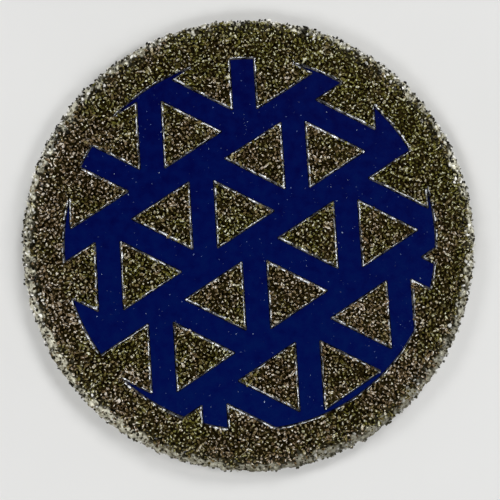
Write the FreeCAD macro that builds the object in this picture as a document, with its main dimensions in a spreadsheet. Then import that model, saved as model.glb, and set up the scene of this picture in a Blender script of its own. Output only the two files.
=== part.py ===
import FreeCAD, Part
import math
import os

import Sketcher

# Electroplated diamond disc
# A turned steel blank lies on its flat back with the grinding face up (+Z). The face is masked into
# equilateral triangles, plated with nickel that holds diamond grit, and its bare lands are lacquered blue.
# Triangles that lie whole inside the round window are islands. The ones that the window's edge cuts
# run into the plated rim, and the rim wraps the rounded shoulder and comes down the wall.
# The origin is the middle of the back. Lengths are in millimetres, angles in degrees.
#
# Triangles are counted by row and by half cells along the row. Even ones point away from the row's
# line, odd ones hang between them and point back to it.

SIZES = (
    ("disc_radius", 25.0, "outer radius, over the plated wall"),
    ("steel_thickness", 2.5, "steel blank, back to face"),
    ("plating_thickness", 0.5, "nickel with its diamond grit, on face, shoulder and wall alike"),
    ("shoulder_radius", 1.8, "round between face and wall, over the plating"),
    ("bare_lip", 0.4, "unplated foot of the wall, up from the back"),
    ("back_chamfer", 0.3, "chamfer round the back edge of the blank"),
    ("window_radius", 20.2, "inner edge of the plated rim"),
    ("cell_side", 12.1, "step from triangle to triangle along a row"),
    ("channel_width", 2.5, "lacquered land between two triangles"),
    ("row_angle", 33.6, "direction of the rows, turned from +X"),
    ("pattern_x", -5.69, "corner of the first cell, across"),
    ("pattern_y", 8.87, "corner of the first cell, up"),
    ("rim_gap", 0.2, "least land kept between an island and the rim"),
    ("tip_blunt", 0.2, "cut back at each tip of a triangle"),
    ("edge_bevel", 0.12, "bevel on the plating's upper edges beside the lacquer"),
    ("lacquer_thickness", 0.12, "lacquer film on the lands"),
)

# Islands of the mask, by row: the first and the last in half cells.
ISLAND_ROWS = {-3: (-1, 1), -2: (-2, 2), -1: (-2, 2), 0: (0, 0)}

doc = FreeCAD.newDocument("diamond_disc")
sheet = doc.addObject("Spreadsheet::Sheet", "Sizes")
for line, (alias, value, meaning) in enumerate(SIZES, start=1):
    sheet.set("A%d" % line, alias)
    sheet.set("B%d" % line, str(value))
    sheet.set("C%d" % line, meaning)
    sheet.setAlias("B%d" % line, alias)
doc.recompute()

# Places that several pieces share, each worked out from the sheet.
STEEL_RADIUS = "(Sizes.disc_radius - Sizes.plating_thickness)"
FACE = "Sizes.steel_thickness"
TOP = "(Sizes.steel_thickness + Sizes.plating_thickness)"
SHOULDER_X = "(Sizes.disc_radius - Sizes.shoulder_radius)"
SHOULDER_Z = "(%s - Sizes.shoulder_radius)" % TOP
STEEL_BEVEL = "((Sizes.shoulder_radius - Sizes.plating_thickness) * sqrt(2) / 2)"
ROOT_X = "((Sizes.window_radius + %s) / 2)" % SHOULDER_X
SIDE = "(Sizes.cell_side - sqrt(3) * Sizes.channel_width)"
INRADIUS = "(%s / (2 * sqrt(3)))" % SIDE
ROW_PITCH = "(Sizes.cell_side * sqrt(3) / 2)"


def sketch_on(body, role):
    """An empty sketch on one of the body's own planes."""
    plane = next(item for item in body.Origin.OriginFeatures if item.Role == role)
    sketch = body.newObject("Sketcher::SketchObject", body.Name + "_sketch")
    sketch.AttachmentSupport = [(plane, "")]
    sketch.MapMode = "FlatFace"
    return sketch


def pin_point(sketch, edge, end, across, up):
    """Holds one end of an edge at two expressions; a plain "0" puts it on the axis."""
    for kind, axis, rule in (("DistanceX", -2, across), ("DistanceY", -1, up)):
        if rule == "0":
            sketch.addConstraint(Sketcher.Constraint("PointOnObject", edge, end, axis))
            continue
        size = float(sketch.evalExpression(rule))
        index = sketch.addConstraint(Sketcher.Constraint(kind, -1, 1, edge, end, size))
        sketch.setExpression("Constraints[%d]" % index, rule)


def draw_section(sketch, corners):
    """Closes an outline through corners (across, up), or (across, up, centre across, centre up) for a
    corner that is reached by an arc about that centre."""
    spots = [[float(sketch.evalExpression(rule)) for rule in corner] for corner in corners]
    ends = []
    for index, spot in enumerate(spots):
        start = FreeCAD.Vector(spots[index - 1][0], spots[index - 1][1], 0)
        stop = FreeCAD.Vector(spot[0], spot[1], 0)
        if len(spot) == 2:
            ends.append((sketch.addGeometry(Part.LineSegment(start, stop)), 1, 2))
            continue
        centre = FreeCAD.Vector(spot[2], spot[3], 0)
        middle = (start - centre) + (stop - centre)
        middle.normalize()
        arc = Part.Arc(start, centre + middle * (stop - centre).Length, stop)
        turns_left = (start - centre).cross(stop - centre).z > 0
        ends.append((sketch.addGeometry(arc), 1 if turns_left else 2, 2 if turns_left else 1))
    for index, (edge, first, last) in enumerate(ends):
        before, _, before_last = ends[index - 1]
        sketch.addConstraint(Sketcher.Constraint("Coincident", before, before_last, edge, first))
        pin_point(sketch, edge, last, corners[index][0], corners[index][1])
        if len(corners[index]) == 4:
            height = Sketcher.Constraint("DistanceY", -1, 1, edge, 3, spots[index][3])
            sketch.setExpression("Constraints[%d]" % sketch.addConstraint(height), corners[index][3])


def turned_body(name, corners):
    """A body made by turning a section about the disc's axis."""
    body = doc.addObject("PartDesign::Body", name)
    sketch = sketch_on(body, "XZ_Plane")
    draw_section(sketch, corners)
    turn = body.newObject("PartDesign::Revolution", name + "_turn")
    turn.Profile = sketch
    turn.ReferenceAxis = (sketch, ["V_Axis"])
    turn.Angle = 360
    body.Tip = turn
    doc.recompute()
    return body


def bevelled(body, base, label, picks, size):
    """Bevels the edges of base that picks() accepts."""
    names = ["Edge%d" % (index + 1) for index, edge in enumerate(base.Shape.Edges) if picks(edge)]
    feature = body.newObject("PartDesign::Chamfer", body.Name + label)
    feature.Base = (base, names)
    feature.setExpression("Size", size)
    body.Tip = feature
    doc.recompute()
    return feature


def is_upright(edge):
    return edge.BoundBox.ZLength > sheet.get("plating_thickness") / 2


def is_top(edge):
    return edge.BoundBox.ZMin > sheet.get("plating_thickness") / 2


def place_in_pattern(row, halves):
    """Where a triangle's middle stands: thirds of a row across, and which way its tip leans from the row."""
    if halves % 2 == 0:
        return 3 * row + 1, 90
    return 3 * row + 2, -90


def triangle_body(name, row, halves):
    """One plated triangle, drawn about its middle and set in its place in the pattern."""
    body = doc.addObject("PartDesign::Body", name)
    sketch = sketch_on(body, "XY_Plane")
    low = "-" + INRADIUS
    draw_section(sketch, [(low, "-%s / 2" % SIDE), ("2 * " + INRADIUS, "0"), (low, "%s / 2" % SIDE)])
    pad = body.newObject("PartDesign::Pad", name + "_pad")
    pad.Profile = sketch
    pad.setExpression("Length", "Sizes.plating_thickness")
    body.Tip = pad
    doc.recompute()
    tips = bevelled(body, pad, "_tips", is_upright, "Sizes.tip_blunt")
    bevelled(body, tips, "_edges", is_top, "Sizes.edge_bevel")
    thirds, lean = place_in_pattern(row, halves)
    along = "(%d / 2 * Sizes.cell_side)" % halves
    across = "(%d / 3 * %s)" % (thirds, ROW_PITCH)
    cosine = "cos(Sizes.row_angle * 1 deg)"
    sine = "sin(Sizes.row_angle * 1 deg)"
    body.setExpression("Placement.Base.x", "Sizes.pattern_x + %s * %s - %s * %s" % (along, cosine, across, sine))
    body.setExpression("Placement.Base.y", "Sizes.pattern_y + %s * %s + %s * %s" % (along, sine, across, cosine))
    body.setExpression("Placement.Base.z", FACE)
    body.setExpression("Placement.Rotation.Angle", "(Sizes.row_angle + %d) * 1 deg" % lean)
    doc.recompute()
    return body


def triangle_outline(row, halves):
    """The sharp outline of a triangle, for sorting it."""
    step = sheet.get("cell_side")
    side = step - math.sqrt(3) * sheet.get("channel_width")
    thirds, lean = place_in_pattern(row, halves)
    along = halves / 2 * step
    across = thirds / 3 * step * math.sqrt(3) / 2
    turn = FreeCAD.Rotation(FreeCAD.Vector(0, 0, 1), sheet.get("row_angle"))
    corner = FreeCAD.Vector(sheet.get("pattern_x"), sheet.get("pattern_y"), 0)
    tips = []
    for tip_angle in (lean, lean + 120, lean + 240):
        arm = FreeCAD.Vector(math.cos(math.radians(tip_angle)), math.sin(math.radians(tip_angle)), 0)
        tips.append(corner + turn.multVec(FreeCAD.Vector(along, across, 0) + arm * (side / math.sqrt(3))))
    return Part.makePolygon(tips + tips[:1])


def sort_pattern():
    """The mask's islands, with any further triangle that lies whole in the window, and those that the
    window's edge cuts."""
    window = sheet.get("window_radius")
    offset = math.hypot(sheet.get("pattern_x"), sheet.get("pattern_y"))
    reach = 2 * int((window + offset) / sheet.get("cell_side") + 2)
    islands = [(row, halves) for row, (first, last) in ISLAND_ROWS.items() for halves in range(first, last + 1)]
    cut = []
    for row in range(-reach, reach + 1):
        for halves in range(-reach, reach + 1):
            if (row, halves) in islands:
                continue
            outline = triangle_outline(row, halves)
            nearest = outline.distToShape(Part.Vertex(0, 0, 0))[0]
            farthest = max(vertex.Point.Length for vertex in outline.Vertexes)
            if farthest < window:
                islands.append((row, halves))
            elif nearest < window - sheet.get("tip_blunt"):
                cut.append((row, halves))
    return islands, cut


def disc_of(name, radius, bottom, height):
    """A plain round slab about the disc's axis."""
    slab = doc.addObject("Part::Cylinder", name)
    slab.setExpression("Radius", radius)
    slab.setExpression("Height", height)
    slab.setExpression("Placement.Base.z", bottom)
    return slab


def group(kind, name, members):
    """A compound or fusion of several objects."""
    result = doc.addObject(kind, name)
    setattr(result, "Links" if kind == "Part::Compound" else "Shapes", members)
    return result


# Steel blank: flat back, chamfered back edge, straight wall, shoulder turned to two bevels, flat face.
steel_backing = turned_body(
    "steel_backing",
    [
        ("0", "0"),
        (STEEL_RADIUS + " - Sizes.back_chamfer", "0"),
        (STEEL_RADIUS, "Sizes.back_chamfer"),
        (STEEL_RADIUS, SHOULDER_Z),
        (SHOULDER_X + " + " + STEEL_BEVEL, SHOULDER_Z + " + " + STEEL_BEVEL),
        (SHOULDER_X, FACE),
        ("0", FACE),
    ],
)

# Plated band: from the window's edge over the shoulder down to the bare lip, round on its outside.
rim_band = turned_body(
    "rim_band",
    [
        ("Sizes.window_radius", FACE),
        (SHOULDER_X, FACE),
        (SHOULDER_X + " + " + STEEL_BEVEL, SHOULDER_Z + " + " + STEEL_BEVEL),
        (STEEL_RADIUS, SHOULDER_Z),
        (STEEL_RADIUS, "Sizes.bare_lip"),
        ("Sizes.disc_radius", "Sizes.bare_lip"),
        ("Sizes.disc_radius", SHOULDER_Z),
        (SHOULDER_X, TOP, SHOULDER_X, SHOULDER_Z),
        ("Sizes.window_radius + Sizes.edge_bevel", TOP),
        ("Sizes.window_radius", TOP + " - Sizes.edge_bevel"),
    ],
)

# Triangles: an island is kept clear of the rim, and a cut one reaches into the rim as far as ROOT_X.
island_places, cut_places = sort_pattern()
island_limit = disc_of("island_limit", "Sizes.window_radius - Sizes.rim_gap", FACE, "Sizes.plating_thickness")
islands = []
for number, place in enumerate(island_places, start=1):
    island = doc.addObject("Part::Common", "diamond_triangle_%02d" % number)
    island.Base = triangle_body("whole_triangle_%02d" % number, *place)
    island.Tool = island_limit
    islands.append(island)
cut_triangles = []
for number, place in enumerate(cut_places, start=1):
    cut_triangles.append(triangle_body("cut_triangle_%02d" % number, *place))

rim_teeth = doc.addObject("Part::Common", "rim_teeth")
rim_teeth.Base = group("Part::Compound", "cut_triangles", cut_triangles)
rim_teeth.Tool = disc_of("teeth_limit", ROOT_X, FACE, "Sizes.plating_thickness")
diamond_rim = group("Part::MultiFuse", "diamond_rim", [rim_band, rim_teeth])
diamond_rim.Refine = True

# Lacquer: a film over the whole window, less every triangle.
blue_lacquer = doc.addObject("Part::Cut", "blue_lacquer")
blue_lacquer.Base = disc_of("lacquer_film", "Sizes.window_radius", FACE, "Sizes.lacquer_thickness")
blue_lacquer.Tool = group("Part::Compound", "all_triangles", islands + cut_triangles)
doc.recompute()

nodes = [steel_backing, diamond_rim, blue_lacquer] + islands
for item in doc.Objects:
    if "Invalid" in item.State or "Error" in item.State:
        raise RuntimeError("%s failed: %s" % (item.Name, item.State))
for node in nodes:
    node.Label = node.Name
    if node.Shape.isNull() or not node.Shape.isValid() or not node.Shape.Solids:
        raise RuntimeError("%s has no valid solid" % node.Name)

os.makedirs("parts", exist_ok=True)
for node in nodes:
    node.Shape.exportStep("parts/%s.step" % node.Label)
    print(node.Label, "solids", len(node.Shape.Solids), "volume", round(node.Shape.Volume, 3), "mm3")
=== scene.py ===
# %% [markdown]
# # A diamond grinding disc, 50 mm across
#
# The real disc is a turned steel blank. Its face is masked off, and nickel full of diamond grit is
# plated on where the mask is open: a band round the edge and a pattern of triangles. The lands in
# between are lacquered navy blue. In this lesson the plain CAD solids are dressed so that each
# finish looks as it does on the bench: sharp stones in a pale metal bond, glossy paint, turned steel.
#
# The CAD model is opened first, as a fixed frame.

# %% Open the CAD model
import math

import bmesh
import bpy
import numpy as np
from mathutils import Matrix, Vector
from mathutils.kdtree import KDTree


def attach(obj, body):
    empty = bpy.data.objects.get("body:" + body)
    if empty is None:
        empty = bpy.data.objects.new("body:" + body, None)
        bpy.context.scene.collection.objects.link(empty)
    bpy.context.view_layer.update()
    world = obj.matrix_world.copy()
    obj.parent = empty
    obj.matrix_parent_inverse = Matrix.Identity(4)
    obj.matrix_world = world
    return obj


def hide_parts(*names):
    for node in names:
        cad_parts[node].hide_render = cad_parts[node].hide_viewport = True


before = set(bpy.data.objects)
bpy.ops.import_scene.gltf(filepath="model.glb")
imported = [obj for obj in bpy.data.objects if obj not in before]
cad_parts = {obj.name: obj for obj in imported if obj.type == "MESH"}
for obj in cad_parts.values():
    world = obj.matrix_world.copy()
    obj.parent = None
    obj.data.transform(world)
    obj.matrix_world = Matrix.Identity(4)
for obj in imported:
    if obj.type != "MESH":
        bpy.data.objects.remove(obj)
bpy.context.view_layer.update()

# %% [markdown]
# ## The disc's own measures
#
# Blender works in metres here, and the disc is drawn in millimetres, so one constant turns one into
# the other. The plated skin runs flat across the top, rolls over a rounded shoulder and comes down
# the wall. All of it lies at one distance from a ring in the middle of the shoulder, which makes one
# short rule for the whole skin: how far a point is below it, and which way it faces there. Two heights
# that differ by less than SLACK count as one.

# %% Measures of the skin
MM = 0.001
TOP = 3.0 * MM
STEEL_FACE = 2.5 * MM
DISC_RADIUS = 25.0 * MM
SHOULDER_RADIUS = 1.8 * MM
RING_RADIUS = DISC_RADIUS - SHOULDER_RADIUS
RING_HEIGHT = TOP - SHOULDER_RADIUS
LIP = 0.4 * MM
SLACK = 0.005 * MM


def from_skin(points):
    """For each point, the outward direction of the nearest skin and the height above that skin."""
    far = np.hypot(points[:, 0], points[:, 1])
    out = np.maximum(far - RING_RADIUS, 0)
    up = np.maximum(points[:, 2] - RING_HEIGHT, 0)
    reach = np.maximum(np.hypot(out, up), 1e-9)
    flat = (points[:, :2] / np.maximum(far, 1e-9)[:, None]) * (out / reach)[:, None]
    return np.column_stack([flat, up / reach]), reach - SHOULDER_RADIUS


print("ring of the shoulder:", round(RING_RADIUS / MM, 2), "mm out,", round(RING_HEIGHT / MM, 2), "mm up")

# %% [markdown]
# ## Small tools for materials
#
# A finish is a tree of nodes. These helpers keep the trees short to read: one adds a node and sets
# its values, one starts a material with its main shader, and the rest are the few patterns that the
# finishes share, such as noise, drifts, ramps and bumps. Constant values are set on the shader's own
# sockets.

# %% Helpers for node trees


def add_node(tree, kind, **values):
    """Adds a node. A name that is a property is set on the node, and any other on its input."""
    node = tree.nodes.new(kind)
    for name, value in values.items():
        label = name.replace("_", " ")
        if label in node.inputs:
            node.inputs[label].default_value = value
        else:
            setattr(node, name, value)
    return node


def new_finish(name, **values):
    """Starts a material and returns it with its tree and its main shader."""
    material = bpy.data.materials.new(name)
    material.use_nodes = True
    tree = material.node_tree
    shader = tree.nodes["Principled BSDF"]
    for label, value in values.items():
        shader.inputs[label.replace("_", " ")].default_value = value
    return material, tree, shader


def in_millimetres(tree):
    """The object's own coordinates, in millimetres, for patterns drawn at true size."""
    place = add_node(tree, "ShaderNodeTexCoord")
    scaled = add_node(tree, "ShaderNodeVectorMath", operation="SCALE")
    scaled.inputs["Scale"].default_value = 1 / MM
    tree.links.new(place.outputs["Object"], scaled.inputs[0])
    return scaled.outputs["Vector"]


def noise(tree, place, size, detail=3.0):
    """A noise whose blotches are about size millimetres across."""
    node = add_node(tree, "ShaderNodeTexNoise", Scale=1 / size, Detail=detail, Roughness=0.55)
    tree.links.new(place, node.inputs["Vector"])
    return node.outputs["Fac"]


def ranged(tree, value, low, high, start=0.0, end=1.0):
    """Carries a value from start and end to low and high."""
    node = add_node(tree, "ShaderNodeMapRange")
    for label, number in (("From Min", start), ("From Max", end), ("To Min", low), ("To Max", high)):
        node.inputs[label].default_value = number
    tree.links.new(value, node.inputs["Value"])
    return node.outputs["Result"]


def summed(tree, first, second):
    """The sum of two values."""
    node = add_node(tree, "ShaderNodeMath", operation="ADD")
    tree.links.new(first, node.inputs[0])
    tree.links.new(second, node.inputs[1])
    return node.outputs[0]


def towards(tree, place, way):
    """How far each point lies in one direction from the middle of the disc, in millimetres."""
    node = add_node(tree, "ShaderNodeVectorMath", operation="DOT_PRODUCT")
    node.inputs[1].default_value = way
    tree.links.new(place, node.inputs[0])
    return node.outputs["Value"]


def across(tree, place, way, most):
    """A value that drifts across the disc in one direction, from -most at one side to most at the other."""
    edge = DISC_RADIUS / MM
    return ranged(tree, towards(tree, place, way), -most, most, -edge, edge)


def ramp(tree, value, stops):
    """A colour ramp from a list of (place, colour)."""
    node = add_node(tree, "ShaderNodeValToRGB")
    while len(node.color_ramp.elements) < len(stops):
        node.color_ramp.elements.new(0.5)
    for element, (place, colour) in zip(node.color_ramp.elements, stops):
        element.position = place
        element.color = (*colour, 1.0)
    tree.links.new(value, node.inputs["Fac"])
    return node.outputs["Color"]


def mixed(tree, share, first, second):
    """Two colours in one: the first where the share is 0, the second where it is 1."""
    node = add_node(tree, "ShaderNodeMix", data_type="RGBA")
    tree.links.new(share, node.inputs["Factor"])
    for label, colour in (("A", first), ("B", second)):
        if isinstance(colour, bpy.types.NodeSocket):
            tree.links.new(colour, node.inputs[label])
        else:
            node.inputs[label].default_value = (*colour, 1.0)
    return node.outputs["Result"]


def bumped(tree, shader, height, depth):
    """Gives the shader a bump of that depth in millimetres."""
    node = add_node(tree, "ShaderNodeBump", Strength=1.0, Distance=depth * MM)
    tree.links.new(height, node.inputs["Height"])
    tree.links.new(node.outputs["Normal"], shader.inputs["Normal"])


print("helpers ready")

# %% [markdown]
# ## Finish 1: plated nickel, in four tones
#
# Plated nickel grows in fine nodules, so it is never a mirror: a noise of about a tenth of a
# millimetre drives both a bump and the roughness. Its tone depends on where it lies. Bare nickel is
# pale and slightly warm. Between the stones it is nearly black, because little light gets in there
# and every stone shades it. On the small wall towards the lacquer it is a dark grey. Along the top
# edge it stands up in bright beads. So one function makes the finish and four calls set the tones.
# The beads have hardly any bump, because a broad, unbroken highlight is what draws the bright line,
# and they are only partly a metal, so that they stay pale where no lamp is mirrored in them: their
# near-white, bluish tone is partly pale nickel and partly a painted highlight.

# %% The nickel bond
NODULE_SIZE = 0.12
NODULE_BUMP = 0.03


def nickel_finish(name, smoothest, roughest, lumps=NODULE_BUMP, metal=1.0):
    """Starts plated nickel with fine nodules, lumps high. Returns what its colour still needs."""
    material, tree, shader = new_finish(name, Metallic=metal)
    place = in_millimetres(tree)
    nodules = noise(tree, place, NODULE_SIZE, 4.0)
    tree.links.new(ranged(tree, nodules, smoothest, roughest, 0.3, 0.7), shader.inputs["Roughness"])
    bumped(tree, shader, nodules, lumps)
    return material, tree, shader, place


def nickel(name, dark, pale, size, border, smoothest, roughest, lumps=NODULE_BUMP, metal=1.0):
    """Nickel in blotches of one size between two tones. A narrow border makes them stand out."""
    material, tree, shader, place = nickel_finish(name, smoothest, roughest, lumps, metal)
    colour = ramp(tree, noise(tree, place, size), [(0.5 - border / 2, dark), (0.5 + border / 2, pale)])
    tree.links.new(colour, shader.inputs["Base Color"])
    return material


BARE_DARK, BARE_PALE = (0.36, 0.34, 0.25), (0.72, 0.70, 0.57)
BARE_NICKEL = nickel("bare_nickel", BARE_DARK, BARE_PALE,
                     size=0.7, border=0.3, smoothest=0.35, roughest=0.55)
# Between the stones the nickel is a painted shade: nearly black, because the stones shade it.
SHADED_NICKEL = nickel("painted_shade_nickel", (0.001, 0.0006, 0.0001), (0.035, 0.025, 0.007),
                     size=0.4, border=0.3, smoothest=0.35, roughest=0.55)
EDGE_NICKEL = nickel("edge_nickel", (0.005, 0.005, 0.008), (0.085, 0.085, 0.09),
                     size=0.4, border=0.12, smoothest=0.25, roughest=0.45)
# The beads' near-white, bluish tone is partly pale nickel and partly a painted highlight.
BEAD_HIGHLIGHT_NICKEL = nickel("bead_nickel_painted_highlight", (0.05, 0.05, 0.05), (0.94, 0.97, 1.0),
                     size=1.0, border=0.16, smoothest=0.22, roughest=0.38, lumps=0.008, metal=0.6)
print("finishes:", BARE_NICKEL.name, SHADED_NICKEL.name, EDGE_NICKEL.name, BEAD_HIGHLIGHT_NICKEL.name)

# %% [markdown]
# ## Finish 2: the diamond grit
#
# Crushed diamond glitters: light goes in through one facet and comes out of another, so of two
# facets side by side one is white and one nearly black. A path of light like that costs many samples
# and turns out grey, so the glitter is painted on the mesh: every facet has a random tone of its own,
# kept as an attribute, and a fine noise breaks it up into flecks. A ramp turns low tones nearly black,
# middle ones olive or brown, and the highest ivory: the ivory facets are painted highlights and the
# nearly black ones painted shade. Every stone also has a hue of its own between olive and brown. One
# slow noise, a slower one, and a drift across the disc push the whole field to and fro between the
# two, as in the photograph. The gloss on top is kept low, with a warm tint: more would lay a pale veil
# over the dark gaps, and the grit would lose its depth.

# %% The diamond grit


def diamond_grit():
    """The stones: a ramp by facet from black, a painted shade, to ivory, a painted highlight, leaning to
    olive or to brown.
    """
    material, tree, shader = new_finish("diamond_grit", IOR=1.7, Specular_Tint=(1.0, 0.72, 0.36, 1.0))
    shader.inputs["Specular IOR Level"].default_value = 0.05
    place = in_millimetres(tree)
    facet = add_node(tree, "ShaderNodeAttribute", attribute_name="facet_glitter").outputs["Fac"]
    flecks = ranged(tree, noise(tree, place, 0.085, 2.0), -0.38, 0.30, 0.35, 0.65)
    tone = summed(tree, summed(tree, facet, flecks), across(tree, place, (-0.8, -0.6, 0), 0.02))
    hue = add_node(tree, "ShaderNodeAttribute", attribute_name="stone_hue").outputs["Fac"]
    olive = ramp(tree, tone, [(0.06, (0.0020, 0.0011, 0.0001)), (0.36, (0.144, 0.128, 0.020)),
                              (0.74, (0.198, 0.187, 0.049)), (0.92, (0.54, 0.53, 0.30)),
                              (1.0, (1.0, 0.99, 0.84))])
    brown = ramp(tree, tone, [(0.06, (0.0030, 0.0010, 0.0002)), (0.36, (0.184, 0.125, 0.054)),
                              (0.74, (0.26, 0.19, 0.121)), (0.92, (0.60, 0.51, 0.39)),
                              (1.0, (1.0, 0.96, 0.88))])
    near = ranged(tree, noise(tree, place, 2.6), -0.45, 0.45, 0.38, 0.62)
    far = ranged(tree, noise(tree, place, 11.0, 1.0), -0.45, 0.45, 0.36, 0.64)
    slow = across(tree, place, (-0.7, -0.7, 0), 0.34)
    share = summed(tree, summed(tree, hue, near), summed(tree, far, slow))
    tree.links.new(mixed(tree, ranged(tree, share, 0.0, 1.0), olive, brown), shader.inputs["Base Color"])
    scratches = noise(tree, place, 0.07, 3.0)
    tree.links.new(ranged(tree, scratches, 0.06, 0.26), shader.inputs["Roughness"])
    bumped(tree, shader, scratches, 0.012)
    return material


GRIT = diamond_grit()
print("finish:", GRIT.name)

# %% [markdown]
# ## Finish 3: the navy lacquer
#
# The lands carry a thin, even coat of glossy navy paint. Paint is never quite flat: a slow, shallow
# bump gives the soft waviness known as orange peel, and a fine noise makes the gloss a little uneven.
# The coat is a little paler towards one side of the disc, so a drift is added to its cloudy tone.

# %% The navy lacquer


def navy_lacquer():
    """Glossy paint with orange peel."""
    material, tree, shader = new_finish("navy_lacquer", IOR=1.45)
    shader.inputs["Specular IOR Level"].default_value = 0.08
    place = in_millimetres(tree)
    depth = summed(tree, noise(tree, place, 1.2, 5.0), across(tree, place, (0.1, -1.0, 0), 0.18))
    colour = ramp(tree, depth, [(0.25, (0.0002, 0.0014, 0.050)), (0.5, (0.0003, 0.0036, 0.066)),
                                (0.75, (0.0004, 0.0062, 0.072))])
    tree.links.new(colour, shader.inputs["Base Color"])
    peel = noise(tree, place, 0.9, 2.0)
    tree.links.new(ranged(tree, noise(tree, place, 0.25), 0.2, 0.34), shader.inputs["Roughness"])
    bumped(tree, shader, peel, 0.01)
    return material


NAVY = navy_lacquer()
print("finish:", NAVY.name)

# %% [markdown]
# ## Finish 4: the turned steel
#
# The back and the bare lip are turned on a lathe and left plain. A lathe leaves fine rings, some
# deeper than others, so both patterns depend only on the distance from the middle: an even wave for
# the tool's steps, and a noise in one dimension for the deeper marks. A slow haze lies over both.

# %% The turned steel


def turned_steel():
    """Steel with the rings that a lathe leaves."""
    material, tree, shader = new_finish("turned_steel", Metallic=1.0)
    place = in_millimetres(tree)
    rings = add_node(tree, "ShaderNodeTexWave", wave_type="RINGS", rings_direction="Z",
                     Scale=1.4, Distortion=0.6, Detail=4.0)
    tree.links.new(place, rings.inputs["Vector"])
    flat = add_node(tree, "ShaderNodeVectorMath", operation="MULTIPLY")
    flat.inputs[1].default_value = (1, 1, 0)
    tree.links.new(place, flat.inputs[0])
    far = add_node(tree, "ShaderNodeVectorMath", operation="LENGTH")
    tree.links.new(flat.outputs["Vector"], far.inputs[0])
    marks = add_node(tree, "ShaderNodeTexNoise", noise_dimensions="1D",
                     Scale=1.6, Detail=5.0, Roughness=0.7)
    tree.links.new(far.outputs["Value"], marks.inputs["W"])
    haze = noise(tree, place, 9.0)
    depth = summed(tree, marks.outputs["Fac"], ranged(tree, haze, -0.12, 0.12))
    colour = ramp(tree, depth, [(0.35, (0.42, 0.41, 0.385)), (0.65, (0.62, 0.61, 0.58))])
    tree.links.new(colour, shader.inputs["Base Color"])
    tree.links.new(ranged(tree, marks.outputs["Fac"], 0.22, 0.46, 0.3, 0.7), shader.inputs["Roughness"])
    bumped(tree, shader, summed(tree, marks.outputs["Fac"], rings.outputs["Fac"]), 0.008)
    return material


STEEL = turned_steel()
print("finish:", STEEL.name)

# %% [markdown]
# ## The CAD pieces that stay
#
# The steel and the lacquer already have their right shape, so they keep it and only get their finish.

# %% Dress the steel and the lacquer
for node_name, finish in (("steel_backing", STEEL), ("blue_lacquer", NAVY)):
    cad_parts[node_name].material_slots[0].material = finish
    print(node_name, "wears", finish.name)

# %% [markdown]
# ## The bond under the grit
#
# The CAD solid of a plated area reaches to the tips of the stones. The metal itself lies lower: the
# stones stand about a quarter of a millimetre out of it. So the bond is a copy of the CAD piece whose
# skin is let down by that much, along the skin's own direction, flat on top and sideways on the wall.
# The walls towards the lacquer stay where they are, and their top edge is rounded by a bevel.

# %% Bond pieces, let down from the CAD skin
SINK = 0.27 * MM
WELD = 0.002 * MM
SKIN_DEPTH = 0.15 * MM


def bond_mesh(node_name):
    """A welded copy of a plated CAD node with its skin let down by SINK."""
    bm = bmesh.new()
    bm.from_mesh(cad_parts[node_name].data)
    bmesh.ops.remove_doubles(bm, verts=bm.verts, dist=WELD)
    bmesh.ops.dissolve_limit(bm, angle_limit=math.radians(0.5), verts=bm.verts, edges=bm.edges)
    points = np.array([v.co for v in bm.verts])
    outward, height = from_skin(points)
    for vertex, way, above in zip(bm.verts, outward, height):
        if above > -SKIN_DEPTH:
            vertex.co -= Vector(way) * SINK
    mesh = bpy.data.meshes.new(node_name + "_bond")
    bm.to_mesh(mesh)
    bm.free()
    return mesh


bond = bond_mesh("diamond_triangle_03")
print("one triangle's bond:", len(bond.vertices), "vertices,", len(bond.polygons), "faces")

# %% [markdown]
# ## One stone
#
# Crushed diamond is blocky and angular. A stone is the convex hull of ten points scattered over a
# ball, which is pushed about half-way out to a cube, drawn out one way and squashed the other two. The
# hull gives flat facets and sharp corners with very few triangles. Forty different stones, turned at
# random, are enough for thousands. Every source of random numbers here starts from a fixed number, so
# that each run gives the same disc.

# %% A tray of different stones
STONE_KINDS = 40
STONE_CORNERS = 10
SCATTER, BLOCKINESS = 0.22, 0.55
LEAST_STRETCH, MOST_STRETCH = (0.95, 0.55, 0.50), (1.45, 0.80, 0.75)


def one_stone(rng):
    """Corners and triangles of a stone about two units long."""
    turn = rng.uniform(0, 2 * math.pi)
    steps = np.arange(STONE_CORNERS) + 0.5
    polar = np.arccos(1 - 2 * steps / STONE_CORNERS)
    around = turn + steps * math.pi * (1 + 5 ** 0.5)
    ball = np.column_stack([np.cos(around) * np.sin(polar), np.sin(around) * np.sin(polar), np.cos(polar)])
    ball += rng.normal(0, SCATTER, ball.shape)
    to_cube = np.abs(ball).max(axis=1, keepdims=True)
    to_ball = np.linalg.norm(ball, axis=1, keepdims=True)
    ball /= to_cube ** BLOCKINESS * to_ball ** (1 - BLOCKINESS)
    ball *= rng.uniform(LEAST_STRETCH, MOST_STRETCH)
    bm = bmesh.new()
    for corner in ball:
        bm.verts.new(corner)
    hull = bmesh.ops.convex_hull(bm, input=bm.verts)
    loose = [item for item in hull["geom_interior"] if isinstance(item, bmesh.types.BMVert)]
    bmesh.ops.delete(bm, geom=loose, context="VERTS")
    bmesh.ops.triangulate(bm, faces=bm.faces)
    bm.verts.index_update()
    corners = np.array([v.co for v in bm.verts])
    triangles = np.array([[v.index for v in face.verts] for face in bm.faces])
    bm.free()
    return corners, triangles


stone_rng = np.random.default_rng(11)
STONES = [one_stone(stone_rng) for _ in range(STONE_KINDS)]
triangle_count = sum(len(triangles) for _, triangles in STONES)
print("stones on the tray:", len(STONES), "with", triangle_count / len(STONES), "triangles each")

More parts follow.
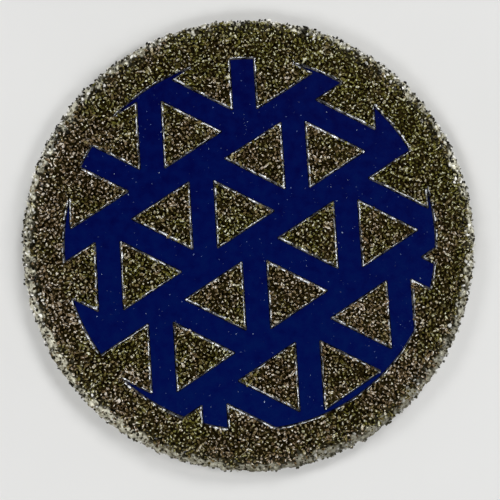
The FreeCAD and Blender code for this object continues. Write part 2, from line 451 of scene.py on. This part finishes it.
# %% [markdown]
# ## Where the stones sit
#
# Grit that settles in a plating bath lies close but not in rows. Candidate places are drawn at random
# over the skin of the bond and taken one by one, unless a stone already sits too near. A grid of small
# boxes makes that test quick. Near the bare edge of a plated area no stone is placed, so that the
# bright line of rounded nickel stays open, as it does on the real disc. Nor is any placed past the
# start of the shoulder, which is built in its own way further on.

# %% Scatter places on a skin
SPACING = 0.32 * MM
EDGE_LINE = 0.15 * MM
SHOULDER_START = 22.9 * MM
TRIES_PER_SPACE = 9
BATCH = 2000
NEAR_SKIN = 0.02 * MM


def skin_faces(mesh):
    """Triangles of the bond that face outward along the skin, as corner points."""
    mesh.calc_loop_triangles()
    points = np.array([v.co for v in mesh.vertices])
    corners = points[np.array([t.vertices[:] for t in mesh.loop_triangles])]
    _, height = from_skin(corners.reshape(-1, 3))
    on_skin = (np.abs(height + SINK) < NEAR_SKIN).reshape(-1, 3).all(axis=1)
    return corners[on_skin]


def rim_of(corners):
    """The open edges of those triangles, where the skin ends. Each runs with the skin on its left."""
    owners = {}
    for triangle in np.round(corners / WELD).astype(int):
        names = [tuple(p) for p in triangle]
        for edge in zip(names, names[1:] + names[:1]):
            owners.setdefault(frozenset(edge), []).append(edge)
    lines = [edges[0] for edges in owners.values() if len(edges) == 1 and len(set(edges[0])) == 2]
    return np.array(lines, float) * WELD


def distance_to(lines, points):
    """Each point's distance to the nearest of the lines, worked out in batches to spare memory."""
    start, way = lines[:, 0], lines[:, 1] - lines[:, 0]
    length = np.maximum((way ** 2).sum(axis=1), 1e-18)
    nearest = np.full(len(points), 1.0)
    for first in range(0, len(points), BATCH):
        part = points[first:first + BATCH, None] - start
        along = np.clip((part * way).sum(axis=2) / length, 0, 1)
        gap = np.linalg.norm(part - along[:, :, None] * way, axis=2)
        nearest[first:first + BATCH] = gap.min(axis=1)
    return nearest


def area_of(corners):
    """The area of each triangle."""
    side_a, side_b = corners[:, 1] - corners[:, 0], corners[:, 2] - corners[:, 0]
    return np.linalg.norm(np.cross(side_a, side_b), axis=1) / 2


def strewn(corners, count, rng):
    """That many random places, spread evenly over the triangles."""
    area = area_of(corners)
    chosen = corners[rng.choice(len(area), count, p=area / area.sum())]
    u, v = rng.random((2, count))
    u, v = np.where(u + v > 1, 1 - u, u), np.where(u + v > 1, 1 - v, v)
    side_a, side_b = chosen[:, 1] - chosen[:, 0], chosen[:, 2] - chosen[:, 0]
    return chosen[:, 0] + side_a * u[:, None] + side_b * v[:, None]


def thinned(places, spacing):
    """The places in their order, without those nearer than the spacing to one that is kept."""
    cells, kept = {}, []
    for here, (x, y, z) in zip(places, np.floor(places / spacing).astype(int)):
        near = (other for dx in (-1, 0, 1) for dy in (-1, 0, 1) for dz in (-1, 0, 1)
                for other in cells.get((x + dx, y + dy, z + dz), ()))
        if all(((here - other) ** 2).sum() >= spacing ** 2 for other in near):
            cells.setdefault((x, y, z), []).append(here)
            kept.append(here)
    return np.array(kept)


def scatter(corners, rng):
    """Random places on the flat face of the bond, for the stones."""
    count = int(area_of(corners).sum() / SPACING ** 2 * TRIES_PER_SPACE)
    places = strewn(corners, count, rng)
    places = places[distance_to(rim_of(corners), places) > EDGE_LINE]
    on_face = (np.hypot(places[:, 0], places[:, 1]) < SHOULDER_START) & (places[:, 2] > STEEL_FACE)
    return thinned(places[on_face], SPACING)


print("spacing", round(SPACING / MM, 2), "mm; open edge", round(EDGE_LINE / MM, 2), "mm")

# %% [markdown]
# ## Stones onto the bond
#
# Every place gets a stone of its own size, turned at random, and pushed in until its highest corner
# stands a given height above the bond. That keeps the tips at the top of the CAD solid, and none
# rises past HIGHEST. The facets' tones are drawn here too: they are the painted glitter, painted
# highlights on the bright facets and painted shade on the dark ones. One stone in twelve is bright all
# over, and the rest lean to the dark side, each by a different power of the same random number.

# %% Set the stones
LOWEST_TIP, HIGHEST_TIP = 0.13 * MM, 0.31 * MM
SMALLEST_STONE, LARGEST_STONE = 0.15 * MM, 0.29 * MM
HIGHEST = TOP + 0.04 * MM
BRIGHT_SHARE, BRIGHT_POWER = 0.08, 0.35
LEAST_POWER, MOST_POWER = 1.0, 2.1


def random_turns(rng, count):
    """Rotation matrices spread evenly over all directions."""
    q = rng.normal(size=(count, 4))
    w, x, y, z = (q / np.linalg.norm(q, axis=1, keepdims=True)).T
    turns = np.array([[1 - 2 * (y * y + z * z), 2 * (x * y - z * w), 2 * (x * z + y * w)],
                      [2 * (x * y + z * w), 1 - 2 * (x * x + z * z), 2 * (y * z - x * w)],
                      [2 * (x * z - y * w), 2 * (y * z + x * w), 1 - 2 * (x * x + y * y)]])
    return turns.transpose(2, 0, 1)


def set_in_skin(name, shapes, places, rng, sizes, tips, darker=0.0):
    """One shape per place, turned at random, its highest corner at its tip's height above the bond."""
    count = len(places)
    outward, _ = from_skin(places)
    turns = random_turns(rng, count)
    kinds = rng.integers(0, len(shapes), count)
    hues = rng.uniform(0.1, 0.9, count)
    bright = rng.random(count) < BRIGHT_SHARE
    powers = np.where(bright, BRIGHT_POWER, rng.uniform(LEAST_POWER, MOST_POWER, count)) + darker
    points, faces, tones, shades, first = [], [], [], [], 0
    for place, way, turn, size, tip, kind, hue, power in zip(
            places, outward, turns, sizes, tips, kinds, hues, powers):
        corners, triangles = shapes[kind]
        shape = corners @ turn.T * size
        shape += place + way * (tip - (shape @ way).max())
        shape[:, 2] -= max(shape[:, 2].max() - HIGHEST, 0)
        points.append(shape)
        faces.append(triangles + first)
        tones.append(rng.random(len(triangles)) ** power)
        shades.append(np.full(len(triangles), hue))
        first += len(shape)
    mesh = bpy.data.meshes.new(name)
    mesh.from_pydata(np.concatenate(points), [], np.concatenate(faces))
    for attribute_name, values in (("facet_glitter", tones), ("stone_hue", shades)):
        attribute = mesh.attributes.new(attribute_name, "FLOAT", "FACE")
        attribute.data.foreach_set("value", np.concatenate(values).astype(np.float32))
    return mesh


def stone_mesh(name, places, rng):
    """Stones of the usual size and height at those places."""
    sizes = rng.uniform(SMALLEST_STONE, LARGEST_STONE, len(places))
    return set_in_skin(name, STONES, places, rng, sizes, rng.uniform(LOWEST_TIP, HIGHEST_TIP, len(places)))


print("tips stand", round(LOWEST_TIP / MM, 2), "to", round(HIGHEST_TIP / MM, 2), "mm above the bond")

# %% [markdown]
# ## One plated piece
#
# The steps so far, in a row: bond, bevel, places, stones, one mesh. On the real disc they are one
# plated layer. A bevel modifier rounds the edges of the bond that are sharper than 25 degrees, and is
# applied before the stones go in.
#
# Plating current crowds at an edge, so the nickel grows there in long, low beads. They are what draws
# the bright line round every triangle. Each bead is a small ball, drawn out along its edge to two to
# nine times its width and set in a little from the wall. They grow larger on the edges that face the
# upper right or the lower left, where the photograph has its broadest strokes.
#
# A plated piece wears five finishes. They are kept in one list, and a face names its own by its place
# in that list: wall, flat, slope, stone or bead.

# %% Make a plated piece
EDGE_ROUND, EDGE_SLOPE = 0.035 * MM, 0.14 * MM
BEAD_SMALL, BEAD_LARGE, BEAD_GAP = 0.045 * MM, 0.115 * MM, 0.16 * MM
BEAD_INSET = 0.03 * MM
SHORTEST_BEAD, LONGEST_BEAD = 2, 9
LEAST_SWELL, MORE_SWELL = 0.6, 0.9
BRIGHT_WAY = math.radians(45)
FINISHES = (BARE_NICKEL, SHADED_NICKEL, EDGE_NICKEL, GRIT, BEAD_HIGHLIGHT_NICKEL)
WALL, FLAT, SLOPE, STONE, BEAD = range(len(FINISHES))


def placed(name, data):
    """A new object in the scene with that mesh, lamp or camera."""
    thing = bpy.data.objects.new(name, data)
    bpy.context.scene.collection.objects.link(thing)
    return thing


def rounded(mesh, width):
    """The mesh with its sharp edges rounded and shaded smooth."""
    piece = placed("rounding", mesh)
    bevel = piece.modifiers.new("round", "BEVEL")
    bevel.width, bevel.segments, bevel.angle_limit = width, 2, math.radians(25)
    done = bpy.data.meshes.new_from_object(piece.evaluated_get(bpy.context.evaluated_depsgraph_get()))
    bpy.data.objects.remove(piece)
    done.shade_smooth()
    done.set_sharp_from_angle(angle=math.radians(40))
    return done


def round_ball(subdivisions):
    """Corners and triangles of a round ball of radius one."""
    bm = bmesh.new()
    bmesh.ops.create_icosphere(bm, subdivisions=subdivisions, radius=1)
    corners = np.array([v.co for v in bm.verts])
    triangles = np.array([[v.index for v in face.verts] for face in bm.faces])
    bm.free()
    return corners, triangles


BEAD_BALL = round_ball(1)


def edge_beads(name, lines, rng):
    """Small smooth beads of nickel strung along the edge lines, each drawn out along its line."""
    lines = lines[(np.hypot(lines[:, :, 0], lines[:, :, 1]) < SHOULDER_START).all(axis=1)]
    lines = lines[(lines[:, :, 2] > STEEL_FACE).all(axis=1)]
    corners, triangles = BEAD_BALL
    points, faces = [], []
    for start, end in lines:
        length = np.linalg.norm(end - start)
        way = (end - start) / length
        side = np.array([-way[1], way[0], 0])
        facing = math.atan2(-side[1], -side[0])
        swell = LEAST_SWELL + MORE_SWELL * math.cos(facing - BRIGHT_WAY) ** 2
        along = rng.exponential(BEAD_GAP)
        while along < length:
            wide, high = swell * rng.uniform(BEAD_SMALL, BEAD_LARGE, 2)
            drawn_out = wide * rng.uniform(SHORTEST_BEAD, LONGEST_BEAD)
            long = min(drawn_out, max(wide, min(along, length - along)))
            place = start + way * along + side * (wide * 0.7 + rng.uniform(0, 2) * BEAD_INSET)
            faces.append(triangles + len(points) * len(corners))
            points.append(place + np.outer(corners[:, 0] * long, way) + np.outer(corners[:, 1] * wide, side)
                          + np.outer(corners[:, 2] * high, (0, 0, 1)))
            along += rng.exponential(BEAD_GAP) + long
    mesh = bpy.data.meshes.new(name)
    mesh.from_pydata(np.concatenate(points), [], np.concatenate(faces))
    return mesh


def plated_piece(name, node_name, seed):
    """A plated area: the bond of a CAD node with its stones in it."""
    rng = np.random.default_rng(seed)
    lowered = bond_mesh(node_name)
    corners = skin_faces(lowered)
    beads = edge_beads(name + "_beads", rim_of(corners), rng)
    places = scatter(corners, rng)
    stones = stone_mesh(name + "_stones", places, rng)
    metal = rounded(lowered, EDGE_ROUND)
    metal_faces, bead_faces = len(metal.polygons), len(beads.polygons)
    bm = bmesh.new()
    bm.from_mesh(metal)
    bm.from_mesh(beads)
    bm.from_mesh(stones)
    bm.faces.ensure_lookup_table()
    flat_height = TOP - SINK - SLACK
    for face in bm.faces[:metal_faces]:
        lowest = min(vertex.co.z for vertex in face.verts)
        on_slope = lowest > flat_height - EDGE_SLOPE
        face.material_index = FLAT if lowest > flat_height else SLOPE if on_slope else WALL
    for face in bm.faces[metal_faces:metal_faces + bead_faces]:
        face.material_index = BEAD
        face.smooth = True
    for face in bm.faces[metal_faces + bead_faces:]:
        face.material_index = STONE
        face.smooth = False
    mesh = bpy.data.meshes.new(name)
    for finish in FINISHES:
        mesh.materials.append(finish)
    bm.to_mesh(mesh)
    bm.free()
    piece = placed(name, mesh)
    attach(piece, "root")
    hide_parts(node_name)
    triangle_count = sum(len(face.vertices) - 2 for face in mesh.polygons)
    print(name, "has", len(places), "stones and", triangle_count, "triangles")


# %% [markdown]
# ## The triangles
#
# Fourteen islands of the same plating, one piece each, made in a loop from their CAD nodes. Each has
# a seed of its own, so that no two carry the same stones.

# %% The fourteen triangles
for number in range(1, 15):
    label = f"triangle_{number:02d}"
    plated_piece("plated_" + label, "diamond_" + label, 100 + number)

# %% [markdown]
# ## The rim
#
# The band round the edge is the largest plated area, and it is made in the same way. Only its flat
# part gets its stones and beads here. Its bond runs on under the shoulder and down the wall.

# %% The rim
plated_piece("plated_rim", "diamond_rim", 7)

# %% [markdown]
# ## Nodules on the shoulder
#
# The current is strongest at the outer edge, so the nickel there grows thick and lumpy: smooth
# nodules over half a millimetre wide, with creases between them. The shoulder is a closed ring turned
# round the axis, like a tyre. Its outer side is a fine grid, and each point of the grid is raised by
# the highest dome that covers it. A k-d tree finds the domes near a point.
#
# The close grit ends along a ragged line, and the nickel beyond it is pale. That line doesn't run at
# the same distance all the way round, so a short table gives it for every thirty degrees, and a few
# random waves make it wander. How far a point lies past it is kept on the mesh as its bareness, and
# the finish turns by that from nearly black between the stones, a painted shade, to pale. Towards the
# lower right the pale nickel is darkened into a painted shade. The lumpy skin starts a hair under the
# rim's own bond, so that the two never lie in one plane.

# %% The shoulder's nickel
NODULE_SPACING = 0.60 * MM
NODULE_REACH = 0.46 * MM
NODULE_LOW, NODULE_HIGH = 0.06 * MM, 0.36 * MM
AROUND = 1500
SKIN_ROWS = 36
FADE_IN, FADE_OUT = 0.7 * MM, 0.25 * MM
BORDER = 0.15
WAVES = 10
HAIR = 0.004 * MM
CLOSE_GRIT = [23.92, 23.88, 24.00, 24.25, 24.00, 23.88, 23.72, 23.65, 23.82, 23.85, 23.75, 23.85]
KNOB_SHARE = [0.60, 0.80, 0.90, 0.75, 0.75, 0.75, 0.70, 0.35, 0.20, 0.15, 0.35, 0.50]


def profile_point(share):
    """A point of the bond's skin, distance out and height: 0 is the shoulder's start, 1 the lip."""
    radius = SHOULDER_RADIUS - SINK
    flat, bend, wall = RING_RADIUS - SHOULDER_START, radius * math.pi / 2, RING_HEIGHT - LIP
    along = share * (flat + bend + wall)
    if along < flat:
        return SHOULDER_START + along, RING_HEIGHT + radius
    if along < flat + bend:
        angle = (along - flat) / radius
        return RING_RADIUS + radius * math.sin(angle), RING_HEIGHT + radius * math.cos(angle)
    return RING_RADIUS + radius, RING_HEIGHT - (along - flat - bend)


def ring_points(profile, count):
    """The profile turned round the axis: count copies of each of its points, row by row."""
    angles = np.arange(count) * 2 * math.pi / count
    out, up = np.array(profile).T
    return np.stack([out[:, None] * np.cos(angles), out[:, None] * np.sin(angles),
                     np.repeat(up[:, None], count, axis=1)], axis=2).reshape(-1, 3)


def spread_over_shoulder(rng, spacing, tries):
    """Random places on the shoulder's skin that keep their distance."""
    places = []
    for share, angle in zip(rng.random(tries), rng.uniform(0, 2 * math.pi, tries)):
        out, up = profile_point(share)
        places.append((out * math.cos(angle), out * math.sin(angle), up))
    return thinned(np.array(places), spacing)


shoulder_rng = np.random.default_rng(3)
nodules = spread_over_shoulder(shoulder_rng, NODULE_SPACING, 12000)
nodule_heights = shoulder_rng.uniform(NODULE_LOW, NODULE_HIGH, len(nodules))
nodule_tree = KDTree(len(nodules))
for index, place in enumerate(nodules):
    nodule_tree.insert(place, index)
nodule_tree.balance()


def raised(points):
    """How high the nodules stand at each point. They fade out towards the flat face and the lip."""
    heights = np.zeros(len(points))
    for row, point in enumerate(points):
        for _, index, gap in nodule_tree.find_n(point, 4):
            if gap < NODULE_REACH:
                dome = nodule_heights[index] * math.sqrt(1 - (gap / NODULE_REACH) ** 2)
                heights[row] = max(heights[row], dome)
    far = np.hypot(points[:, 0], points[:, 1])
    fade = np.clip((far - SHOULDER_START - 0.1 * MM) / FADE_IN, 0, 1)
    fade *= np.clip((points[:, 2] - LIP) / FADE_OUT, 0, 1)
    return heights * fade


def wave_field(points, length, rng):
    """A smooth random value at each point, mostly between -2 and 2, with swells of about that length."""
    ways = rng.normal(size=(WAVES, 3))
    ways *= 2 * math.pi / length / np.linalg.norm(ways, axis=1, keepdims=True)
    swells = np.sin(points @ ways.T + rng.uniform(0, 2 * math.pi, WAVES))
    return swells.sum(axis=1) / math.sqrt(WAVES / 2)


def by_direction(points, values):
    """A value for each point from a list of twelve, one every thirty degrees round the disc."""
    angle = np.degrees(np.arctan2(points[:, 1], points[:, 0])) % 360
    return np.interp(angle, np.arange(0, 361, 30), values + values[:1])


def past_close_grit(points):
    """How far, in millimetres, each point lies beyond the ragged line where the close grit ends."""
    rng = np.random.default_rng(29)
    wander = 0.20 * wave_field(points, 1.3 * MM, rng) + 0.14 * wave_field(points, 4.0 * MM, rng)
    return np.hypot(points[:, 0], points[:, 1]) / MM - by_direction(points, CLOSE_GRIT) - wander


def bareness(points):
    """How bare of grit the shoulder is at each point, from 0 to 1, in patches."""
    return np.clip(past_close_grit(points) / BORDER, 0, 1)


def shaded_lower_right(tree, place, colour):
    """The colour, turning to a darker grey round the lower right of the shoulder: a painted shade."""
    share = ranged(tree, towards(tree, place, (0.4, -0.92, 0)), 0.0, 0.6, 8.0, 24.0)
    return mixed(tree, share, colour, (0.06, 0.055, 0.032))


def shoulder_finish():
    """Nickel that turns from nearly black between the stones, a painted shade, to pale where it is bare."""
    material, tree, shader, place = nickel_finish("shoulder_nickel", 0.35, 0.6)
    # The nearly black nickel between the stones is a painted shade.
    shaded_gaps = ramp(tree, noise(tree, place, 0.3), [(0.4, (0.004, 0.003, 0.001)), (0.6, (0.040, 0.034, 0.016))])
    pale = ramp(tree, noise(tree, place, 0.6),
                [(0.32, (0.10, 0.09, 0.06)), (0.44, BARE_DARK), (0.56, BARE_PALE)])
    bare = add_node(tree, "ShaderNodeAttribute", attribute_name="bareness").outputs["Fac"]
    tree.links.new(mixed(tree, bare, shaded_gaps, shaded_lower_right(tree, place, pale)), shader.inputs["Base Color"])
    return material


def shoulder_nickel():
    """The lumpy ring of nickel, closed by two rows of points inside the plating."""
    skin = [profile_point(row / (SKIN_ROWS - 1)) for row in range(SKIN_ROWS)]
    inside = [(DISC_RADIUS - SINK - 0.3 * MM, LIP), (SHOULDER_START, RING_HEIGHT + 1.2 * MM)]
    points = ring_points(skin + inside, AROUND)
    outer = points[:SKIN_ROWS * AROUND]
    outward, _ = from_skin(outer)
    outer += outward * (raised(outer) - HAIR)[:, None]
    outer[:, 2] = np.minimum(outer[:, 2], HIGHEST)
    rows = SKIN_ROWS + len(inside)
    faces = [(row * AROUND + step, row * AROUND + (step + 1) % AROUND,
              (row + 1) % rows * AROUND + (step + 1) % AROUND, (row + 1) % rows * AROUND + step)
             for row in range(rows) for step in range(AROUND)]
    mesh = bpy.data.meshes.new("shoulder_nickel")
    mesh.from_pydata(points, [], [face[::-1] for face in faces])
    mesh.shade_smooth()
    attribute = mesh.attributes.new("bareness", "FLOAT", "POINT")
    attribute.data.foreach_set("value", bareness(points).astype(np.float32))
    mesh.materials.append(shoulder_finish())
    piece = placed("shoulder_nickel", mesh)
    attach(piece, "root")
    print("shoulder_nickel has", len(nodules), "nodules and", 2 * len(mesh.polygons), "triangles")


shoulder_nickel()

# %% [markdown]
# ## Stones and coated grains on the shoulder
#
# Up to the ragged line the stones stay close. Past it there are a few less, they sit deeper, and they
# are darker, like seeds in the pale nickel. Over many grains the nickel has closed altogether: they
# stand there as knobs, each from nearly black to white. Another table gives their share for every
# thirty degrees, because one side of the disc is full of them and the other has hardly any.
#
# One scatter of places serves both kinds, so that no two stand in each other. A knob is either a ball
# with broad dents and swellings, or a stone from the tray that has kept its corners under the nickel.

# %% The shoulder's stones and knobs
KNOB_KINDS = 16
SMALLEST_KNOB, LARGEST_KNOB = 0.15 * MM, 0.24 * MM
LOWEST_KNOB, HIGHEST_KNOB = 0.16 * MM, 0.34 * MM
KNOBS_AT_MOST, STONES_LEFT_OUT = 0.8, 0.25
KNOBS_BEGIN, KNOBS_SPREAD = 0.7, 0.8
# The second number brightens facets on the side full of knobs: painted glints.
SEEDS_DARKER, KNOB_SIDE_GLINTS = 3.5, 0.45
DENT = 0.16
LIP_GAP = 0.15 * MM


def one_knob(rng):
    """A ball with broad dents and swellings."""
    corners, triangles = round_ball(2)
    swell = sum(DENT * np.sin(3.5 * corners @ rng.normal(size=3) + rng.uniform(0, 6.3)) for _ in range(4))
    return corners * (1 + swell)[:, None] * rng.uniform(0.5, 1.1, 3), triangles


def coated_grain():
    """Nickel over a whole grain: each knob has a tone of its own, from nearly black to nearly white."""
    material, tree, shader, place = nickel_finish("coated_grain", 0.3, 0.5, metal=0.2)
    shader.inputs["Specular IOR Level"].default_value = 0.1
    grain = add_node(tree, "ShaderNodeAttribute", attribute_name="stone_hue").outputs["Fac"]
    facet = add_node(tree, "ShaderNodeAttribute", attribute_name="facet_glitter").outputs["Fac"]
    tone = summed(tree, grain, ranged(tree, facet, -0.12, 0.12))
    colour = ramp(tree, tone, [(0.1, (0.004, 0.003, 0.001)), (0.50, (0.07, 0.065, 0.042)),
                               (0.70, (1.0, 0.99, 0.93))])
    tree.links.new(shaded_lower_right(tree, place, colour), shader.inputs["Base Color"])
    return material


def shoulder_grains():
    """The stones and the knobs of the shoulder, as two pieces."""
    rng = np.random.default_rng(5)
    places = spread_over_shoulder(rng, SPACING, 60000)
    places = places[places[:, 2] > LIP + LIP_GAP]
    bare = bareness(places)
    begun = np.clip((past_close_grit(places) + KNOBS_BEGIN) / KNOBS_SPREAD, 0, 1) ** 1.5
    share = by_direction(places, KNOB_SHARE)
    is_knob = rng.random(len(places)) < KNOBS_AT_MOST * begun * share
    # The second term brightens the facets near the close-grit line on the side full of knobs: painted
    # glints.
    darker = SEEDS_DARKER * bare * (1 - 0.7 * share) - KNOB_SIDE_GLINTS * begun * share
    is_stone = ~is_knob & (rng.random(len(places)) > STONES_LEFT_OUT * bare)
    outward, _ = from_skin(places)
    places = places + outward * (raised(places) * 0.8)[:, None]
    sizes = rng.uniform(SMALLEST_STONE, LARGEST_STONE, len(places)) * (1 - 0.15 * bare)
    tips = rng.uniform(LOWEST_TIP, HIGHEST_TIP, len(places)) * (1 - 0.5 * bare)
    knobs = [one_knob(rng) for _ in range(KNOB_KINDS)] + STONES[:KNOB_KINDS]
    knob_sizes = rng.uniform(SMALLEST_KNOB, LARGEST_KNOB, len(places))
    knob_tips = rng.uniform(LOWEST_KNOB, HIGHEST_KNOB, len(places))
    for name, shapes, chosen, size, tip, finish in (
            ("shoulder_stones", STONES, is_stone, sizes, tips, GRIT),
            ("shoulder_knobs", knobs, is_knob, knob_sizes, knob_tips, coated_grain())):
        mesh = set_in_skin(name, shapes, places[chosen], rng, size[chosen], tip[chosen], darker[chosen])
        if shapes is knobs:
            mesh.shade_smooth()
            mesh.set_sharp_from_angle(angle=math.radians(35))
        mesh.materials.append(finish)
        piece = placed(name, mesh)
        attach(piece, "root")
        print(name, "has", chosen.sum(), "grains and", len(mesh.polygons), "triangles")


shoulder_grains()

# %% [markdown]
# ## Stray grains on the lacquer
#
# Fine dust from the grit always settles on the lacquer while it is wet, and dries into it as specks.
# They are tiny stones, pressed half into the paint, scattered over the top of the lacquer solid. Most
# are nearly as blue as the paint that covers them, and only a few are pale.

# %% Stray grains
STRAY_GRAINS = 420
SMALLEST_SPECK, LARGEST_SPECK = 0.03 * MM, 0.11 * MM


def stray_finish():
    """Specks of grit under the paint: blue for the most part, a few of them pale."""
    material, tree, shader = new_finish("stray_grain", Roughness=0.5)
    tone = add_node(tree, "ShaderNodeAttribute", attribute_name="stone_hue").outputs["Fac"]
    colour = ramp(tree, tone, [(0.1, (0.002, 0.008, 0.09)), (0.55, (0.014, 0.034, 0.15)),
                               (0.75, (0.06, 0.10, 0.28)), (0.9, (0.38, 0.46, 0.62))])
    tree.links.new(colour, shader.inputs["Base Color"])
    bumped(tree, shader, noise(tree, in_millimetres(tree), 0.05), 0.01)
    return material


def stray_grains():
    """The specks, on the triangles of the lacquer's solid that lie at its top."""
    rng = np.random.default_rng(23)
    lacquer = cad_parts["blue_lacquer"].data
    lacquer.calc_loop_triangles()
    points = np.array([v.co for v in lacquer.vertices])
    corners = points[np.array([t.vertices[:] for t in lacquer.loop_triangles])]
    corners = corners[(corners[:, :, 2] > corners[:, :, 2].max() - SLACK).all(axis=1)]
    places = strewn(corners, STRAY_GRAINS, rng)
    sizes = rng.uniform(SMALLEST_SPECK, LARGEST_SPECK, STRAY_GRAINS)
    mesh = set_in_skin("stray_grains", STONES, places, rng, sizes, sizes * 0.5)
    mesh.materials.append(stray_finish())
    piece = placed("stray_grains", mesh)
    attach(piece, "root")
    print("stray_grains has", STRAY_GRAINS, "grains and", len(mesh.polygons), "triangles")


stray_grains()

# %% [markdown]
# ## The studio
#
# The disc lies on a pale round floor, wide enough for every view. The light is soft and plain: a sky
# that is bright at the horizon and dim overhead, and five large lamps all round, half-way up. Straight
# above there is no lamp, so that the lacquer and the flat metal stay deep, and only what leans towards
# a lamp shines.

# %% Floor, sky and lamps
FLOOR_RADIUS, FLOOR_DROP = 0.35, 0.02 * MM
LAMP_DISTANCE, LAMP_SIZE = 0.6, 0.16
# For each lamp: its name, its compass angle, its height in degrees and its power in watts.
LAMPS = (("lamp_right", 5, 45, 0.8), ("lamp_upper_right", 62, 45, 1.1), ("lamp_left", 160, 42, 0.8),
         ("lamp_lower_left", 243, 45, 1.0), ("lamp_lower_right", 303, 45, 0.5))


def studio_floor():
    """A round sheet of pale paper, a hair below the disc."""
    bm = bmesh.new()
    bmesh.ops.create_circle(bm, cap_ends=True, segments=96, radius=FLOOR_RADIUS)
    mesh = bpy.data.meshes.new("studio_floor")
    bm.to_mesh(mesh)
    bm.free()
    floor = placed("studio_floor", mesh)
    floor.location.z = -FLOOR_DROP
    material, tree, shader = new_finish("pale_paper", Roughness=0.7)
    shader.inputs["Specular IOR Level"].default_value = 0.2
    tone = noise(tree, in_millimetres(tree), 40.0)
    tree.links.new(ramp(tree, tone, [(0.3, (0.78, 0.78, 0.77)), (0.7, (0.81, 0.81, 0.80))]),
                   shader.inputs["Base Color"])
    mesh.materials.append(material)


def studio_sky():
    """Light from all round, strongest at the horizon."""
    world = bpy.data.worlds.new("studio_sky")
    bpy.context.scene.world = world
    world.use_nodes = True
    tree = world.node_tree
    background = tree.nodes["Background"]
    place = add_node(tree, "ShaderNodeTexCoord").outputs["Generated"]
    split = add_node(tree, "ShaderNodeSeparateXYZ")
    tree.links.new(place, split.inputs[0])
    sky = ramp(tree, split.outputs["Z"], [(0.0, (0.80, 0.80, 0.80)), (0.3, (0.45, 0.45, 0.45)),
                                         (0.65, (0.10, 0.10, 0.10)), (1.0, (0.03, 0.03, 0.03))])
    tree.links.new(sky, background.inputs["Color"])
    background.inputs["Strength"].default_value = 1.0


def lamp(name, around, above, power):
    """A square lamp that looks at the disc from a compass angle and a height in degrees."""
    data = bpy.data.lights.new(name, "AREA")
    data.size, data.energy = LAMP_SIZE, power
    light = placed(name, data)
    flat, high = math.radians(around), math.radians(above)
    light.location = Vector((math.cos(flat) * math.cos(high), math.sin(flat) * math.cos(high),
                             math.sin(high))) * LAMP_DISTANCE
    light.rotation_euler = light.location.to_track_quat("Z", "Y").to_euler()


studio_floor()
studio_sky()
for settings in LAMPS:
    lamp(*settings)

# %% [markdown]
# ## The camera
#
# The photograph looks almost straight down at the face, leaning five degrees to the lower left, from
# a little over one and a half disc widths away. A small shift puts the disc where it is in the frame.

# %% Camera
LEAN, LEAN_TOWARDS = math.radians(4.83), math.radians(234.9)
CAMERA_DISTANCE = 82.9 * MM
PIXELS_PER_MM, FRAME = 9.207, 500
FACE_RIGHT, FACE_UP = 2.09, 9.34

back = Vector((math.sin(LEAN) * math.cos(LEAN_TOWARDS), math.sin(LEAN) * math.sin(LEAN_TOWARDS),
               math.cos(LEAN)))
camera_data = bpy.data.cameras.new("camera")
camera = placed("camera", camera_data)
camera.location = Vector((0, 0, TOP)) + back * CAMERA_DISTANCE
right = Vector((0, 1, 0)).cross(back).normalized()
turn = Matrix((right, back.cross(right), back)).transposed()
camera.rotation_euler = turn.to_euler()
camera_data.sensor_width = 36.0
camera_data.lens = PIXELS_PER_MM * CAMERA_DISTANCE / MM / FRAME * camera_data.sensor_width
camera_data.shift_x, camera_data.shift_y = -FACE_RIGHT / FRAME, -FACE_UP / FRAME
camera_data.clip_start, camera_data.clip_end = 0.005, 20.0
bpy.context.scene.camera = camera
bpy.context.scene.view_settings.view_transform = "Standard"
print("lens", round(camera_data.lens, 2), "mm")

# %% [markdown]
# ## Close
#
# The scene is brought up to date at the end. The dressed disc has to stay in the CAD model's box.

# %% Update the scene
bpy.context.view_layer.update()
